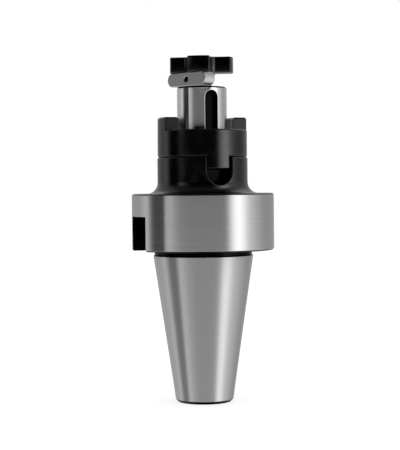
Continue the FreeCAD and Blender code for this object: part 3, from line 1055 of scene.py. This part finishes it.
def light_world(studio):
    """White to the camera and in reflections, and a plain level of light on matt surfaces."""
    world = bpy.data.worlds.new("studio_world")
    bpy.context.scene.world = world
    world.use_nodes = True
    tree = world.node_tree
    tree.nodes.clear()
    path = new_node(tree, "ShaderNodeLightPath")
    seen = calculate(
        tree, "MAXIMUM", path.outputs["Is Camera Ray"], path.outputs["Is Glossy Ray"]
    )
    seen = calculate(tree, "MAXIMUM", seen, path.outputs["Is Transmission Ray"])
    white = new_node(tree, "ShaderNodeBackground", {"Color": (1, 1, 1, 1), "Strength": 1.0})
    plain = new_node(
        tree, "ShaderNodeBackground", {"Color": (1, 1, 1, 1), "Strength": studio.level}
    )
    mix = new_node(
        tree,
        "ShaderNodeMixShader",
        {0: seen, 1: plain.outputs["Background"], 2: white.outputs["Background"]},
    )
    new_node(tree, "ShaderNodeOutputWorld", {"Surface": mix.outputs["Shader"]})


LAMP_HEIGHT = 1.3
LAMP_SIDE = 1.2


def hang_lamp(studio):
    """One large soft lamp overhead, which lights the floor round the object."""
    lamp = bpy.data.lights.new("overhead_lamp", "AREA")
    lamp.shape = "SQUARE"
    lamp.size = LAMP_SIDE
    lamp.energy = studio.lamp_power
    holder = bpy.data.objects.new("overhead_lamp", lamp)
    holder.location = (0, 0, LAMP_HEIGHT)
    holder.visible_glossy = False
    bpy.context.scene.collection.objects.link(holder)


# In pixels: how far the axis stands right of the picture's middle, and how far the camera's own
# level lies above it
AXIS_OFFSET = 3.05
CAMERA_LEVEL = 42.8
SENSOR = 36.0


def place_camera(studio):
    """The camera at the photograph's height, distance and slight roll."""
    data = bpy.data.cameras.new("camera")
    data.lens = studio.camera_lens
    data.sensor_width = SENSOR
    camera = bpy.data.objects.new("camera", data)
    bpy.context.scene.collection.objects.link(camera)
    outward = Vector((math.sin(studio.camera_azimuth), -math.cos(studio.camera_azimuth), 0))
    position = outward * studio.camera_distance + Vector((0, 0, studio.camera_height))
    pixels_deep = studio.camera_lens / SENSOR * PICTURE_HEIGHT
    pitch = math.atan2(CAMERA_LEVEL, pixels_deep)
    swing = math.atan2(AXIS_OFFSET, pixels_deep)
    right = Vector((-outward.y, outward.x, 0))
    forward = -outward * math.cos(swing) - right * math.sin(swing)
    forward = (forward * math.cos(pitch) - Vector((0, 0, math.sin(pitch)))).normalized()
    side = forward.cross(Vector((0, 0, 1))).normalized()
    top = side.cross(forward)
    roll = studio.camera_roll
    rolled_top = top * math.cos(roll) + side * math.sin(roll)
    rolled_side = side * math.cos(roll) - top * math.sin(roll)
    turned = Matrix((rolled_side, rolled_top, -forward)).transposed()
    camera.matrix_world = Matrix.Translation(position) @ turned.to_4x4()
    bpy.context.scene.camera = camera


class ARBOR_OT_stage(bpy.types.Operator):
    """Set up the camera, floor, panels, lamp and background"""

    bl_idname = "arbor.stage"
    bl_label = "Set up the studio"

    def execute(self, context):
        _, _, studio = settings()
        place_camera(studio)
        build_floor()
        build_surround(studio)
        light_world(studio)
        hang_lamp(studio)
        context.scene.view_settings.view_transform = "Standard"
        return {"FINISHED"}


OPERATORS = (
    ARBOR_OT_stage,
    ARBOR_OT_finish_arbor,
    ARBOR_OT_finish_loose_pieces,
    ARBOR_OT_retaining_screw,
    ARBOR_OT_hole_threads,
)


class ARBOR_PT_panel(bpy.types.Panel):
    """The arbor's steps and values in the sidebar"""

    bl_idname = "ARBOR_PT_panel"
    bl_label = "Shell mill arbor"
    bl_space_type = "VIEW_3D"
    bl_region_type = "UI"
    bl_category = "Arbor"

    def draw(self, context):
        for operator in OPERATORS:
            self.layout.operator(operator.bl_idname)
        for group in settings():
            box = self.layout.box()
            for name in group.__annotations__:
                box.prop(group, name)


GROUPS = {
    "arbor_threads": ArborThreads,
    "arbor_finishes": ArborFinishes,
    "arbor_studio": ArborStudio,
}
CLASSES = (*GROUPS.values(), *OPERATORS, ARBOR_PT_panel)


def register():
    for item in CLASSES:
        bpy.utils.register_class(item)
    for name, group in GROUPS.items():
        setattr(bpy.types.Scene, name, bpy.props.PointerProperty(type=group))


def unregister():
    for name in GROUPS:
        delattr(bpy.types.Scene, name)
    for item in reversed(CLASSES):
        bpy.utils.unregister_class(item)


def main():
    register()
    bpy.ops.arbor.stage()
    bpy.ops.arbor.finish_arbor()
    bpy.ops.arbor.finish_loose_pieces()
    bpy.ops.arbor.retaining_screw()
    bpy.ops.arbor.hole_threads()


if __name__ == "__main__":
    main()
